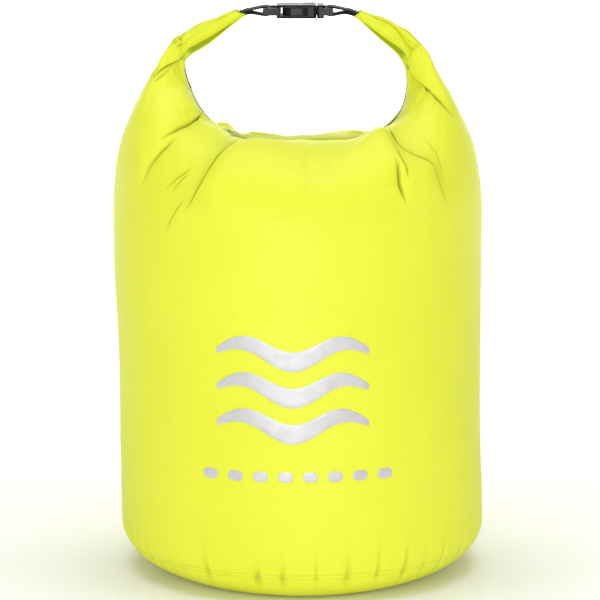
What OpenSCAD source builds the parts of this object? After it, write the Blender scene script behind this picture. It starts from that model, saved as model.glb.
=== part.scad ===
// Roll-top stuff sack: a stuffed, round coated-cloth bag. Its mouth is rolled shut, and the two
// ends of the roll stand up as arms that a side-release buckle joins into a carrying loop.
// Millimetres. X runs along the roll, -Y is the printed front, Z is up, and the origin is the
// centre of the base on the floor.

/* [Bag] */
// Width of the stuffed bag along the roll
bag_w = 260; // [220:1:320]
// Depth of the stuffed bag, which is also the base's diameter
bag_d = 252; // [210:1:310]
// Height of the straight wall, up to where the shoulders start
wall_h = 262; // [200:1:330]
// Radius of the round edge between the base and the wall
base_round = 24; // [18:1:34]
// Height of the seam that joins the base panel to the tube panel
seam_z = 17; // [12:0.5:17]
// Thickness that stands for the coated cloth
cloth_t = 1.4; // [1:0.1:2]
// Rise of the front crest's control point above the straight wall
front_rise = 70; // [50:1:80]
// Rise of the back crest's control point above the straight wall
back_rise = 48; // [35:1:60]

/* [Rolled closure] */
// Height of the roll's middle above the straight wall
roll_rise = 40; // [34:1:50]
// Length of the roll's middle, between the two arms
middle_l = 108; // [90:1:120]
// Thickness of the wound roll
roll_t = 10.5; // [9:0.5:14]
// Width of cloth wound around each edge of the hem
roll_edge = 2; // [1.6:0.1:4]
// Width of the hem band along the mouth
hem_w = 24; // [20:0.5:30]
// Thickness of the folded hem band
hem_t = 3; // [2.6:0.1:3.6]
// Thickness of the plastic stiffener in the hem
stiffener_t = 1; // [0.8:0.1:1.4]

/* [Arms] */
// Inset of each arm's fold line from the bag's side
pivot_inset = 57; // [52:1:60]
// Distance of the folded cloth's middle outside the fold line
foot_shift = 26; // [22:1:28]
// Height of the fold lines above the straight wall
pivot_rise = 50; // [44:1:60]
// Radius of the folded cloth at the arm's foot
fold_r = 27; // [22:1:29]
// Half of the arm's depth at its foot
arm_half_d = 45; // [35:1:46]
// Rise of the buckle above the fold lines
loop_rise = 85; // [75:1:110]

/* [Webbing] */
// Width of the webbing tabs
web_w = 20; // [15:0.5:26]
// Thickness of the webbing
web_t = 1.4; // [1:0.1:1.8]
// Length of each tab's tail inside the roll's end
tail_l = 8; // [5:0.5:9]

/* [Buckle] */
// Distance of each webbing bar from the buckle's middle
bar_x = 22.25; // [21.5:0.25:26]
// Radius of the webbing bars
bar_r = 2.2; // [1.8:0.1:2.4]
// Thickness of the buckle's housing
buckle_t = 9.5; // [9:0.5:11]
// Thickness of the buckle's walls
buckle_wall = 2; // [1.6:0.1:2.2]
// Width of each prong's beam
prong_w = 3; // [2.4:0.1:3.2]
// Width of the plug's guide tongue
tongue_w = 7; // [4:0.5:7]

/* [Print] */
// Width of the wave print
print_w = 104; // [80:1:120]
// Height of the lowest wave's middle
print_z = 126; // [100:1:140]
// Distance between two waves
wave_gap = 25; // [22:1:27]
// Thickness of a wave, top to bottom
wave_h = 13; // [8:0.5:16]
// Height of the row of dashes
dash_z = 90; // [80:1:95]

/* [Hidden] */

lime = [0.88, 0.95, 0.2];
black = [0.06, 0.06, 0.07];
print_grey = [0.66, 0.68, 0.7];
clear_white = [0.85, 0.87, 0.85];

// clearances
skin_gap = 0.5;    // between the faceted cloth and a round strip inside it
layer_gap = 0.3;   // between two wound or folded layers
pin_gap = 0.08;    // radial, around a webbing bar or a prong's knuckle
slide_gap = 0.3;   // between the plug's parts and the housing's hollow
arm_gap = 0.8;     // between an arm's end and the roll's middle
film_gap = 0.25;   // between the print film and the faceted cloth
film_t = 0.4;      // the print film's thickness

// round sections
around = 56;       // points around the bag
wall_rows = 5;     // rows of points up the wall
top_rows = 10;     // rows of points from the wall's top over the crest to the roll
band_sides = 16;   // points around a strip's section
$fn = 48;

half_w = bag_w / 2;
half_d = bag_d / 2;
hollow_w = max(hem_w, web_w) + 4 * layer_gap;
hollow_t = hem_t + 2 * layer_gap;
roll_w = hollow_w + 2 * roll_edge;
roll_z = wall_h + roll_rise;
pivot = [half_w - pivot_inset, wall_h + pivot_rise];
foot = pivot + [foot_shift, 0];
buckle_z = pivot[1] + loop_rise;

// ---- general functions ----
function mix(a, b, t) = a + (b - a) * t;
function bezier2(a, b, c, t) = mix(mix(a, b, t), mix(b, c, t), t);
function bezier3(a, b, c, d, t) = mix(bezier2(a, b, c, t), bezier2(b, c, d, t), t);
function unit(v) = v / norm(v);

// A smooth path that starts and ends at its end points and bends near each point between.
function smooth_path(p, steps) = concat([p[0]], [
    for (i = [1 : len(p) - 2], k = [1 : steps])
        bezier2(i == 1 ? p[0] : mix(p[i - 1], p[i], 0.5), p[i],
            i == len(p) - 2 ? p[i + 1] : mix(p[i], p[i + 1], 0.5), k / steps)]);

// The side-facing normals of a path in the XZ plane.
function path_normals(p) = [
    for (i = [0 : len(p) - 1])
        let (d = unit(p[min(i + 1, len(p) - 1)] - p[max(i - 1, 0)])) [d[1], -d[0]]];

// A rounded oblong ring: half-length a along the direction n in the XZ plane, half-width b in Y.
function oblong_ring(centre, n, a, b, power) = [
    for (k = [0 : band_sides - 1])
        let (f = 360 * (k + 0.5) / band_sides, c = cos(f), s = sin(f),
            u = a * sign(c) * pow(abs(c), power), v = b * sign(s) * pow(abs(s), power))
            [centre[0] + n[0] * u, v, centre[1] + n[1] * u]];

function side_faces(rows, m, start, flip) = [
    for (i = [0 : rows - 2], k = [0 : m - 1])
        let (a = start + i * m + k, b = start + i * m + (k + 1) % m, d = a + m, c = b + m)
            each flip ? [[a, c, d], [a, b, c]] : [[a, d, c], [a, c, b]]];

// A closed solid through a list of rings.
module loft(rings) {
    m = len(rings[0]);
    n = len(rings);
    polyhedron(points = [for (r = rings) each r], faces = concat(
        side_faces(n, m, 0, false),
        [[for (k = [0 : m - 1]) k]],
        [[for (k = [m - 1 : -1 : 0]) (n - 1) * m + k]]));
}

// A shell between two lists of rings that end in the same places.
module loft_shell(outer, inner) {
    m = len(outer[0]);
    n = len(outer);
    start = n * m;
    last = (n - 1) * m;
    polyhedron(points = [for (r = concat(outer, inner)) each r], faces = concat(
        side_faces(n, m, 0, false),
        side_faces(n, m, start, true),
        [for (k = [0 : m - 1]) let (j = (k + 1) % m) each [
            [k, j, start + j],
            [k, start + j, start + k],
            [last + k, start + last + j, last + j],
            [last + k, start + last + k, start + last + j]]]));
}

// ---- the bag's own surface ----
// Half-width of the wall: the round base spreads to the flatter top.
function wall_half_w(z) = mix(half_d, half_w, min(max((z - base_round) / (wall_h * 0.7), 0), 1));
function base_inset(z) = z < base_round
    ? base_round - sqrt(pow(base_round, 2) - pow(base_round - z, 2)) : 0;

function wall_point(f, z, inward) = [
    (wall_half_w(z) - base_inset(z) - inward) * cos(f),
    (half_d - base_inset(z) - inward) * sin(f), z];

// The cloth's upper edge, by the angle q from the side: it rounds each arm's foot and then
// runs along the edge of the roll.
corner_x = [middle_l / 2 + 3, foot[0] - 23];
edge_x = [[0, foot[0] + 23], [18, foot[0] + 19], [32, foot[0] - 1], [42, corner_x[1]],
    [50, mix(corner_x[0], corner_x[1], 0.32)], [60, corner_x[0]], [90, 0]];
edge_y = [[0, 0], [18, arm_half_d - 3], [32, arm_half_d + 6], [42, arm_half_d + 5],
    [50, arm_half_d - 14], [60, roll_w / 2 + 2], [75, roll_w / 2 - 0.5], [90, roll_w / 2 - 0.5]];
edge_drop = [[0, 31], [18, 32], [32, 20], [42, 13], [50, 11], [60, 14], [90, 15]];
crest_start = [[0, 10], [32, 20], [50, 40], [90, 48]];
crest_share = [[0, 0.1], [32, 0.4], [50, 0.8], [90, 1]];

function top_point(f, t, inward) =
    let (front = sin(f) < 0,
        q = asin(min(abs(sin(f)), 1)),
        rise = front ? front_rise : back_rise,
        w = wall_point(f, wall_h, inward),
        edge = [sign(cos(f)) * lookup(q, edge_x), (front ? -1 : 1) * lookup(q, edge_y),
            pivot[1] - lookup(q, edge_drop) - inward],
        up1 = [0, 0, lookup(q, crest_start) * (front ? 1 : 0.85) - inward],
        crest = [mix(edge[0], w[0], 0.3), mix(edge[1], w[1], 0.3),
            mix(edge[2], wall_h + rise - inward, lookup(q, crest_share))])
        bezier3(w, w + up1, crest, edge, t);

function skin(inward) = [
    for (i = [0 : wall_rows + top_rows])
        [for (k = [0 : around - 1]) let (f = 360 * (k + 0.5) / around)
            i <= wall_rows
                ? wall_point(f, i == 0 ? seam_z : mix(base_round, wall_h, (i - 1) / (wall_rows - 1)),
                    inward)
                : top_point(f, (i - wall_rows) / top_rows, inward)]];

module tube_panel() {
    color(lime) loft_shell(skin(0), skin(cloth_t));
}

// ---- the base ----
base_in = half_d - cloth_t - skin_gap;  // outer radius of the strips inside the seam
flange_h = 12;                          // height of the base panel's turned-up edge
tape_h = 18;                            // width of the seam tape
tape_t = 0.6;                           // thickness of the seam tape
thread_r = 0.3;                         // radius of the sewing thread
back_tape_w = 20;                       // width of the tape on the back seam

module base_panel() {
    lip_r = half_d - base_inset(seam_z);
    color(lime) rotate_extrude($fn = 96) {
        // flat base with a round edge, up to the seam
        intersection() {
            square([half_d, seam_z - layer_gap]);
            difference() {
                union() {
                    square([half_d - base_round, cloth_t]);
                    translate([half_d - base_round, base_round]) circle(r = base_round);
                }
                translate([half_d - base_round, base_round]) circle(r = base_round - cloth_t);
                translate([0, cloth_t]) square([half_d - base_round, wall_h]);
            }
        }
        // turned-up edge inside the tube panel
        translate([lip_r - 3 * cloth_t - skin_gap, seam_z - layer_gap - cloth_t])
            square([cloth_t, flange_h]);
        translate([lip_r - 3 * cloth_t - skin_gap, seam_z - layer_gap - cloth_t])
            square([2.6 * cloth_t, cloth_t]);
    }
}

module base_seam_tape() {
    r = half_d - base_inset(seam_z) - 3 * cloth_t - skin_gap - 4 * thread_r;
    color(clear_white) rotate_extrude($fn = 96)
        translate([r - tape_t, seam_z - layer_gap])
            square([tape_t, tape_h]);
}

module base_seam_thread() {
    r = half_d - base_inset(seam_z) - 3 * cloth_t - skin_gap - 2 * thread_r;
    color(lime) rotate_extrude($fn = 96)
        translate([r + thread_r * 0.4, seam_z + flange_h / 2])
            circle(r = thread_r, $fn = 16);
}

module back_seam_tape() {
    sweep_angle = 2 * asin(back_tape_w / 2 / base_in);
    color(clear_white) rotate([0, 0, 90 - sweep_angle / 2])
        rotate_extrude(angle = sweep_angle, $fn = 96)
            translate([base_in - tape_t, seam_z + tape_h + 4])
                square([tape_t, wall_h - seam_z - tape_h - 8]);
}

// ---- the rolled mouth ----
middle_path = smooth_path([[-middle_l / 2, roll_z + 5], [-middle_l / 4, roll_z], [middle_l / 4, roll_z],
    [middle_l / 2, roll_z + 5]], 4);
arm_start = [middle_l / 2 + 2 + arm_gap * 2, roll_z + roll_t + 1.2];
elbow = foot + [-10.5, 50];
arm_tip = [bar_x + 19.75, buckle_z - 2.5];
arm_path = smooth_path([arm_start, mix(arm_start, elbow, 0.6), elbow, mix(elbow, arm_tip, 0.5),
    arm_tip], 5);
arm_normals = path_normals(arm_path);
hem_end = len(arm_path) - 3;            // the hem stops short of the webbing's tail

function strip_rings(path, w, t, power) =
    let (n = path_normals(path))
        [for (i = [0 : len(path) - 1]) oblong_ring(path[i], n[i], t / 2, w / 2, power)];

function part_of(path, last) = [for (i = [0 : last]) path[i]];

module roll_strip(path) {
    color(lime) loft_shell(strip_rings(path, roll_w, roll_t, 0.5),
        strip_rings(path, hollow_w, hollow_t, 0.3));
}

module hem_strip(path) {
    inner_w = hem_w - 2 * layer_gap;
    inner_t = stiffener_t + 2 * layer_gap;
    color(lime * 0.9) loft_shell(strip_rings(path, hem_w, hem_t, 0.3),
        strip_rings(path, inner_w - 1, inner_t, 0.3));
}

module stiffener_strip(path) {
    color(clear_white) loft(strip_rings(path, hem_w - 4, stiffener_t, 0.3));
}

// ---- the arms ----
gusset_last = 11;                       // the arm path's point where the gusset ends
function arm_outline(t) = bezier3(foot + [29, -7], foot + [26, 13], foot + [9, 35],
    elbow + [4.5, 9], t);
foot_rings = [for (dz = [-22, -14, -5])
    let (chord = sqrt(fold_r * fold_r - dz * dz))
        oblong_ring(foot + [0, dz], [1, 0], chord, arm_half_d * (1 + dz / 60), 0.6)];
side_rings = [for (i = [0 : gusset_last])
    let (t = i / gusset_last,
        inner = arm_path[i] + arm_normals[i] * (roll_t / 2 + layer_gap),
        outer = arm_outline(t),
        across = outer - inner)
        oblong_ring((inner + outer) / 2, unit(across), norm(across) / 2,
            mix(arm_half_d, roll_w / 2, t), 0.6)];

module gusset() {
    color(lime) loft(concat(foot_rings, side_rings));
}

// ---- webbing tabs ----
loop_in = bar_r + pin_gap;
loop_out = loop_in + web_t;
join_x = bar_x + 11;                    // where the tab's two layers meet
merge = 0.1;                            // how far a straight leg starts inside the round loop

// A bar or bore across the webbing, around the buckle's bar.
module cross_bar(r, l) {
    translate([bar_x, 0, buckle_z]) rotate([90, 0, 0]) cylinder(r = r, h = l, center = true);
}

module across(w) {
    rotate([90, 0, 0]) linear_extrude(height = w, center = true) children();
}

module tab() {
    along = unit(elbow - arm_tip);
    side = [along[1], -along[0]] * -web_t;
    tail = arm_tip + along * tail_l;
    color(black) difference() {
        union() {
            cross_bar(loop_out, web_w);
            across(web_w) polygon([[bar_x, buckle_z + loop_out - merge],
                [join_x, buckle_z + web_t], arm_tip + side, tail + side, tail - side,
                arm_tip - side, [join_x, buckle_z - web_t],
                [bar_x, buckle_z - loop_out + merge]]);
        }
        cross_bar(loop_in, web_w + 2);
        across(web_w + 2) polygon([[bar_x, buckle_z + loop_in - merge], [join_x, buckle_z],
            [bar_x, buckle_z - loop_in + merge]]);
    }
}

module tab_stitching() {
    rows = 2;
    stitches = 7;
    stitch_r = 0.35;
    color([0.2, 0.2, 0.2]) for (row = [0 : rows - 1], i = [0 : stitches - 1])
        translate([join_x + 2 + row * 3, (i - (stitches - 1) / 2) * web_w / (stitches + 1),
            buckle_z - 0.8 - 1.1 * row])
            cylinder(r = stitch_r, h = 2 * web_t + 1.4, center = true, $fn = 16);
}

// ---- buckle ----
buckle_half = web_w / 2 + 4;            // half of the buckle's width
mouth_x = 13;                           // the housing's mouth
back_x = -15;                           // the housing's closed end
hollow_half = buckle_half - buckle_wall;
hollow_z = buckle_t / 2 - buckle_wall;
window = [-12, 7];                      // the side windows' ends
knuckle = [15.5, hollow_half - 0.8 - prong_w + 1];
knuckle_r = 2.2;
prong_z = hollow_z - slide_gap;         // half of a prong's thickness

// A bar for the webbing with the two rails that hold it, from x = a to the bar.
module webbing_bar(a, b, rail_z) {
    rail = buckle_half - web_w / 2 - 0.8;
    translate([b, 0, buckle_z]) rotate([90, 0, 0])
        cylinder(r = bar_r, h = 2 * buckle_half - 1, center = true);
    for (s = [-1, 1])
        translate([min(a, b), s * (buckle_half - rail / 2) - rail / 2, buckle_z - rail_z])
            cube([abs(b - a), rail, 2 * rail_z]);
    for (s = [-1, 1])
        translate([b, s * (buckle_half - rail / 2), buckle_z]) rotate([90, 0, 0])
            cylinder(r = rail_z, h = rail, center = true);
}

// A rectangle about the origin with round corners.
module rounded(w, h, r) {
    union() {
        square([w - 2 * r, h], center = true);
        square([w, h - 2 * r], center = true);
        for (x = [-1, 1], y = [-1, 1])
            translate([x * (w / 2 - r), y * (h / 2 - r)]) circle(r = r);
    }
}

// A moulded block from x = a to b, rounded as seen from above, from the front and from the end.
module soft_block(a, b, half_y, half_z, r) {
    l = b - a;
    translate([(a + b) / 2, 0, buckle_z]) intersection() {
        linear_extrude(height = 2 * half_z, center = true) rounded(l, 2 * half_y, 2 * r);
        rotate([90, 0, 0]) linear_extrude(height = 2 * half_y, center = true)
            rounded(l, 2 * half_z, r);
        rotate([90, 0, 90]) linear_extrude(height = l, center = true)
            rounded(2 * half_y, 2 * half_z, r * 1.25);
    }
}

module buckle_housing() {
    edge_r = 1.2;
    grooves = 3;
    groove_r = 0.5;
    groove_pitch = 2.2;
    color(black) union() {
        difference() {
            soft_block(back_x, mouth_x, buckle_half, buckle_t / 2, edge_r);
            translate([window[0] - 0.5, -hollow_half, buckle_z - hollow_z])
                cube([mouth_x - window[0] + 1, 2 * hollow_half, 2 * hollow_z]);
            for (s = [-1, 1])
                translate([window[0], s * (buckle_half - 1) - 2, buckle_z - hollow_z - 0.2])
                    cube([window[1] - window[0], 4, 2 * hollow_z + 0.4]);
            // grooves across the top and bottom faces, near the mouth
            for (s = [-1, 1], i = [0 : grooves - 1])
                translate([mouth_x - 3 - groove_pitch * i, 0, buckle_z + s * buckle_t / 2])
                    rotate([90, 0, 0])
                        cylinder(r = groove_r, h = 2 * buckle_half - 6, center = true);
        }
        webbing_bar(back_x + 1.5, -bar_x, bar_r + 0.4);
    }
}

module buckle_plug() {
    block = [mouth_x + slide_gap, bar_x - loop_out - 0.35];
    pocket_r = knuckle_r + pin_gap;
    color(black) union() {
        difference() {
            union() {
                soft_block(block[0], block[1], buckle_half - 0.2, buckle_t / 2 - 0.1, 0.8);
                webbing_bar(block[1] - 1.5, bar_x, bar_r + 0.4);
            }
            for (s = [-1, 1]) {
                translate([knuckle[0], s * knuckle[1], buckle_z])
                    cylinder(r = pocket_r, h = 2 * (prong_z + 0.2), center = true);
                translate([block[0] - 1, s * (knuckle[1] - 0.2) - pocket_r, buckle_z - prong_z - 0.2])
                    cube([knuckle[0] - block[0] + 1, 2 * pocket_r, 2 * prong_z + 0.4]);
            }
        }
        translate([-6, -tongue_w / 2, buckle_z - hollow_z + slide_gap])
            cube([block[0] + 6.5, tongue_w, 2 * (hollow_z - slide_gap)]);
    }
}

// One springing prong: a beam on a knuckle, with a catch that fills the side window.
module prong() {
    beam_in = hollow_half - 0.8 - prong_w;
    beam_out = hollow_half - 0.8;
    catch_out = buckle_half - 0.2;
    color(black) translate([0, 0, buckle_z - prong_z]) linear_extrude(height = 2 * prong_z) union() {
        translate([knuckle[0], knuckle[1]]) circle(r = knuckle_r);
        polygon([[knuckle[0], knuckle[1] - 1.4], [knuckle[0], knuckle[1] + 1.4], [7.5, beam_out],
            [window[1] - 0.4, beam_out], [window[1] - 0.4, catch_out - 0.8], [3, catch_out],
            [-5, catch_out], [-9, beam_out], [-11, beam_out - 1], [-11, beam_in + 1], [-9, beam_in],
            [6, beam_in]]);
    }
}

// ---- print on the front ----
function front_y(x, z) = -half_d * sqrt(1 - pow(x / wall_half_w(z), 2)) - film_gap;

module wave(z0) {
    steps = 24;
    lift = 6;
    color(print_grey) loft([for (i = [0 : steps])
        let (x = print_w * (i / steps - 0.5), mid = z0 + lift * sin(540 * i / steps),
            h = wave_h / 2 * (0.35 + 0.65 * sin(180 * i / steps)),
            low = front_y(x, mid - h), high = front_y(x, mid + h))
            [[x, low, mid - h], [x, high, mid + h], [x, high - film_t, mid + h],
                [x, low - film_t, mid - h]]]);
}

module print_waves() {
    for (i = [0 : 2])
        wave(print_z + i * wave_gap);
}

module print_dashes() {
    count = 8;
    dash = [10, 7];
    pitch = 17;
    color(print_grey) for (i = [0 : count - 1])
        let (x = (i - (count - 1) / 2) * pitch, turn = atan2(x, half_d))
            translate([x, front_y(x, dash_z) - 0.1, dash_z]) rotate([90, 0, turn])
                linear_extrude(height = film_t) union() {
                    square([dash[0] - dash[1], dash[1]], center = true);
                    for (s = [-1, 1])
                        translate([s * (dash[0] - dash[1]) / 2, 0]) circle(d = dash[1], $fn = 20);
                }
}

module left() {
    mirror([1, 0, 0]) children();
}

tube_panel();
base_panel();
base_seam_tape();
base_seam_thread();
back_seam_tape();
roll_strip(middle_path);  // roll_middle
hem_strip(middle_path);  // hem_band_middle
stiffener_strip(middle_path);  // stiffener_middle
print_waves();
print_dashes();
left() gusset();  // left_gusset
left() roll_strip(arm_path);  // left_roll
left() hem_strip(part_of(arm_path, hem_end));  // left_hem_band
left() stiffener_strip(part_of(arm_path, hem_end));  // left_stiffener
left() tab();  // left_tab
left() tab_stitching();  // left_tab_stitching
gusset();  // right_gusset
roll_strip(arm_path);  // right_roll
hem_strip(part_of(arm_path, hem_end));  // right_hem_band
stiffener_strip(part_of(arm_path, hem_end));  // right_stiffener
tab();  // right_tab
tab_stitching();  // right_tab_stitching
buckle_housing();
buckle_plug();
mirror([0, 1, 0]) prong();  // front_prong
prong();  // back_prong
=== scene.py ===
"""A roll-top waterproof stuff sack, packed full: its looks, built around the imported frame."""

import math
import random

import bmesh
import bpy
import numpy as np
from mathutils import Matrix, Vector, noise
from mathutils.bvhtree import BVHTree


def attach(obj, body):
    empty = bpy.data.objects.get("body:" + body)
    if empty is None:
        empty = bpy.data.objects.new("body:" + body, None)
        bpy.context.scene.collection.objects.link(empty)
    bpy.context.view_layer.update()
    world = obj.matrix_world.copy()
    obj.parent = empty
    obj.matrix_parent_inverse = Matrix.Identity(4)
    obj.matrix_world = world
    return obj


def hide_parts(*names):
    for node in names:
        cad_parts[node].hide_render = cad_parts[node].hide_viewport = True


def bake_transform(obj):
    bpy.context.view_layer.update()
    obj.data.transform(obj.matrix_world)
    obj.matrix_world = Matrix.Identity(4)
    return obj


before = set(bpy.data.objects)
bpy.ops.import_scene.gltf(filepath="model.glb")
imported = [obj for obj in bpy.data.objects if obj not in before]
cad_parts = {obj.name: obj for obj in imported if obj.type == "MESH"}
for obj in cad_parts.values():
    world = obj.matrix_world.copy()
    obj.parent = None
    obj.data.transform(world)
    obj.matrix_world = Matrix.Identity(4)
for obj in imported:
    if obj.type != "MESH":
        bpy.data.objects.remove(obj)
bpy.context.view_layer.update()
scene = bpy.context.scene

# ---- measures, in metres ----
HALF_W, HALF_D = 0.1300, 0.1260
SEAM_Z, WALL_TOP = 0.017, 0.262
BASE_W, BASE_ROUND, BASE_RISE = 0.1300, 0.047, 0.033   # half-width, and the round edge's size
ROUND_Y = 0.60                        # the round edge's share of that at the front and back
ROLL_W, ROLL_T = 0.0292, 0.0105
TIP = (0.042, 0.3945)                 # where the cloth ends and the webbing comes out
BAR_X, BUCKLE_Z, BAR_R = 0.02225, 0.397, 0.0022
WEB_W, WEB_T = 0.020, 0.0014
CAMERA = (0.0014, -2.170, 0.573)
PLANE_Y = -0.09                       # the plane on which the creases' places are given
BEND_DIR = (0.30, 0.954)              # the way up an arm, in x (away from the middle) and z
BEND_FROM, BEND_TO = 0.299, 0.354     # where along it the cloth is cut into the shoulder pieces

rng = random.Random(11)


def smooth01(t):
    t = np.clip(t, 0.0, 1.0)
    return t * t * (3 - 2 * t)


# ---- materials ----
def material(name, base, rough, **extra):
    m = bpy.data.materials.new(name)
    m.use_nodes = True
    b = m.node_tree.nodes["Principled BSDF"]
    b.inputs["Base Color"].default_value = (*base, 1)
    b.inputs["Roughness"].default_value = rough
    for key, value in extra.items():
        b.inputs[key.replace("_", " ")].default_value = value
    return m


class Graph:
    """Short ways to add nodes to a material."""

    def __init__(self, m):
        self.nodes, self.links = m.node_tree.nodes, m.node_tree.links
        self.shader = self.nodes["Principled BSDF"]
        self.coords = self.nodes.new("ShaderNodeTexCoord")

    def node(self, kind, **values):
        n = self.nodes.new("ShaderNode" + kind)
        for key, value in values.items():
            if key in n.inputs:
                n.inputs[key].default_value = value
            else:
                setattr(n, key, value)
        return n

    def link(self, a, b):
        self.links.new(a, b)

    def noise(self, scale, detail=3.0, rough=0.55):
        n = self.node("TexNoise", Scale=scale, Detail=detail, Roughness=rough)
        self.link(self.coords.outputs["Object"], n.inputs["Vector"])
        return n.outputs["Fac"]

    def math(self, operation, a, b=0.0, c=0.0):
        n = self.node("Math", operation=operation)
        for i, v in enumerate((a, b, c)):
            if isinstance(v, (int, float)):
                n.inputs[i].default_value = v
            else:
                self.link(v, n.inputs[i])
        return n.outputs[0]

    def ramp(self, value, stops):
        n = self.nodes.new("ShaderNodeValToRGB")
        while len(n.color_ramp.elements) < len(stops):
            n.color_ramp.elements.new(0.5)
        for e, (place, colour) in zip(n.color_ramp.elements, stops):
            e.position = place
            e.color = (*colour, 1)
        self.link(value, n.inputs["Fac"])
        return n.outputs["Color"]

    def separate(self, source):
        n = self.nodes.new("ShaderNodeSeparateXYZ")
        self.link(self.coords.outputs[source], n.inputs[0])
        return n.outputs

    def bump(self, height, distance, strength=1.0, after=None):
        n = self.node("Bump", Strength=strength, Distance=distance)
        self.link(height, n.inputs["Height"])
        if after is not None:
            self.link(after, n.inputs["Normal"])
        return n.outputs["Normal"]

    def cells(self, source, pitch, sharp):
        """1 on thin lines of a square net of that pitch, 0 between them."""
        x, y, _ = self.separate(source)
        lines = []
        for v in (x, y):
            wave = self.math("COSINE", self.math("MULTIPLY", v, 2 * math.pi / pitch))
            lines.append(self.math("POWER", self.math("MULTIPLY_ADD", wave, 0.5, 0.5), sharp))
        return self.math("MAXIMUM", *lines)

    def weave(self, source, pitch):
        """A plain weave: over and under in turn along both ways."""
        x, y, _ = self.separate(source)
        a = self.math("SINE", self.math("MULTIPLY", x, math.pi / pitch))
        b = self.math("SINE", self.math("MULTIPLY", y, math.pi / pitch))
        return self.math("MULTIPLY_ADD", self.math("MULTIPLY", a, b), 0.5, 0.5)


def cloth_material(name, light, dark, fold_shade_colour, rough):
    """Coated cloth: light and dark in broad patches, and painted shade: the colour goes to the given
    shade colour where the point attribute marks a fold's shade.
    """
    m = material(name, light, rough, Specular_IOR_Level=0.22)
    g = Graph(m)
    broad = g.ramp(g.noise(9.0, 4.0), [(0.32, dark), (0.68, light)])
    # painted shade: this point attribute mixes the cloth's colour towards the dark shade colour in
    # creases, gathers and behind the crest
    painted_shade_node = g.node("Attribute", attribute_name="painted_fold_shade")
    mix = g.nodes.new("ShaderNodeMix")
    mix.data_type = "RGBA"
    g.link(g.math("MULTIPLY", painted_shade_node.outputs["Fac"], 0.9), mix.inputs[0])
    g.link(broad, mix.inputs[6])
    mix.inputs[7].default_value = (*fold_shade_colour, 1)
    g.link(mix.outputs[2], g.shader.inputs["Base Color"])
    fine = g.math("MULTIPLY_ADD", g.noise(55.0, 4.0), 0.16, rough - 0.08)
    g.link(fine, g.shader.inputs["Roughness"])
    normal = g.bump(g.noise(38.0, 5.0, 0.6), 0.0016, 0.30)
    normal = g.bump(g.cells("UV", 0.005, 40.0), 0.00006, 0.5, normal)
    normal = g.bump(g.weave("UV", 0.0004), 0.00005, 0.35, normal)
    g.link(normal, g.shader.inputs["Normal"])
    return m


LIME = cloth_material("coated_cloth", (0.800, 0.845, 0.052), (0.765, 0.812, 0.042),
                      (0.24, 0.30, 0.002), 0.50)
# the roll: the same cloth painted a little darker, as painted shade for the rolled cloth lying in
# shadow
LIME_ROLL_SHADED = cloth_material("coated_cloth_roll_painted_shade", (0.770, 0.820, 0.040), (0.700, 0.760, 0.028),
                           (0.26, 0.32, 0.002), 0.52)


def webbing_material():
    m = material("webbing", (0.010, 0.010, 0.011), 0.66, Specular_IOR_Level=0.3,
                 Sheen_Weight=0.10, Sheen_Roughness=0.45)
    g = Graph(m)
    x, y, _ = g.separate("UV")
    rib = g.math("SINE", g.math("MULTIPLY", y, 2 * math.pi / 0.0011))
    across = g.math("SINE", g.math("MULTIPLY", x, 2 * math.pi / 0.0016))
    height = g.math("MULTIPLY_ADD", g.math("MULTIPLY", rib, across), 0.35,
                    g.math("MULTIPLY", rib, 0.5))
    normal = g.bump(g.noise(900.0, 3.0), 0.0002, 0.5)
    g.link(g.bump(height, 0.0003, 0.8, normal), g.shader.inputs["Normal"])
    g.link(g.ramp(height, [(0.2, (0.004, 0.004, 0.005)), (0.9, (0.016, 0.016, 0.017))]),
           g.shader.inputs["Base Color"])
    return m


def plastic_material():
    m = material("moulded_plastic", (0.009, 0.009, 0.010), 0.42, Specular_IOR_Level=0.17)
    g = Graph(m)
    g.link(g.math("MULTIPLY_ADD", g.noise(140.0, 4.0), 0.22, 0.24), g.shader.inputs["Roughness"])
    g.link(g.ramp(g.noise(60.0, 3.0), [(0.35, (0.006, 0.006, 0.007)), (0.7, (0.013, 0.013, 0.014))]),
           g.shader.inputs["Base Color"])
    g.link(g.bump(g.noise(2600.0, 2.0), 0.00004, 0.35), g.shader.inputs["Normal"])
    return m


def print_material():
    """Silver-grey ink that throws light back, with a fine knurl."""
    m = material("print", (0.60, 0.59, 0.60), 0.42, Metallic=0.25, Specular_IOR_Level=0.6)
    g = Graph(m)
    x, _, z = g.separate("Object")
    a = g.math("SINE", g.math("MULTIPLY", g.math("ADD", x, z), 2 * math.pi / 0.0013))
    b = g.math("SINE", g.math("MULTIPLY", g.math("SUBTRACT", x, z), 2 * math.pi / 0.0013))
    knurl = g.math("MULTIPLY_ADD", g.math("MULTIPLY", a, b), 0.5, 0.5)
    mixed = g.math("MULTIPLY_ADD", g.noise(120.0, 4.0), 0.5, g.math("MULTIPLY", knurl, 0.5))
    g.link(g.ramp(mixed, [(0.25, (0.47, 0.465, 0.475)), (0.75, (0.68, 0.67, 0.68))]),
           g.shader.inputs["Base Color"])
    g.link(g.bump(knurl, 0.0001, 0.5), g.shader.inputs["Normal"])
    return m


def tape_material():
    m = material("seam_tape", (0.74, 0.78, 0.66), 0.35, Specular_IOR_Level=0.5)
    g = Graph(m)
    g.link(g.bump(g.noise(220.0, 3.0), 0.0002, 0.4), g.shader.inputs["Normal"])
    g.link(g.ramp(g.noise(30.0, 3.0), [(0.3, (0.66, 0.70, 0.55)), (0.7, (0.78, 0.81, 0.70))]),
           g.shader.inputs["Base Color"])
    return m


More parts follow.
